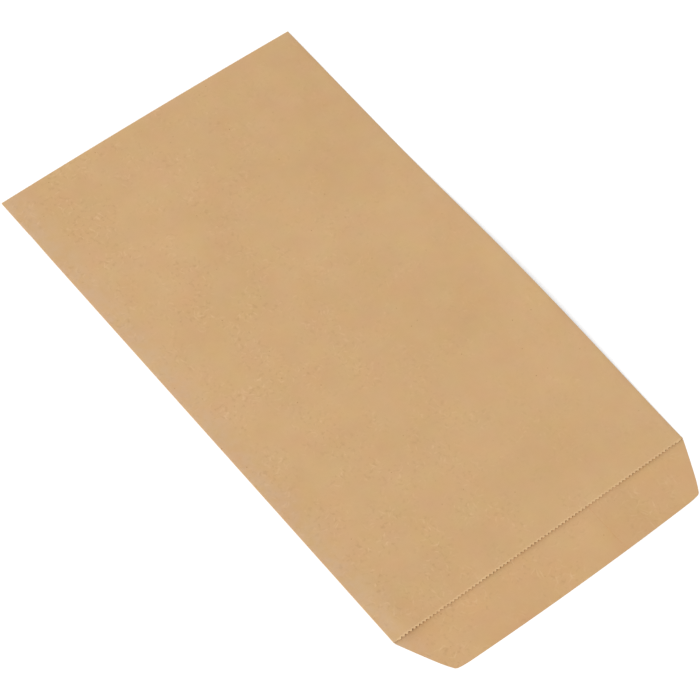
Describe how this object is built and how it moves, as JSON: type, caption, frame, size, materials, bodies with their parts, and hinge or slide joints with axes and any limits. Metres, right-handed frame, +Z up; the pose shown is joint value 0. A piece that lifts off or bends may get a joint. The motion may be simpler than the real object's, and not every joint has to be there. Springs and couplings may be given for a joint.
{
  "type": "flat paper merchandise bag",
  "caption": "Flat kraft paper bag lying on its back, with a pinked front edge at the open mouth, a back lip with slanted sides and a turned-up glued bottom.",
  "frame": {"origin": "centre of the bag's outline, lip included, on the surface that it lies on", "axes": "+Y from the mouth towards the bottom fold, +X across the bag, +Z up, out of the front panel"},
  "size_m": [0.1524, 0.2784, 0.0032],
  "materials": {
    "kraft_paper": "unbleached, uncoated, matt"
  },
  "bodies": {
    "root": {"paper_bag": "kraft_paper"}
  },
  "joints": []
}
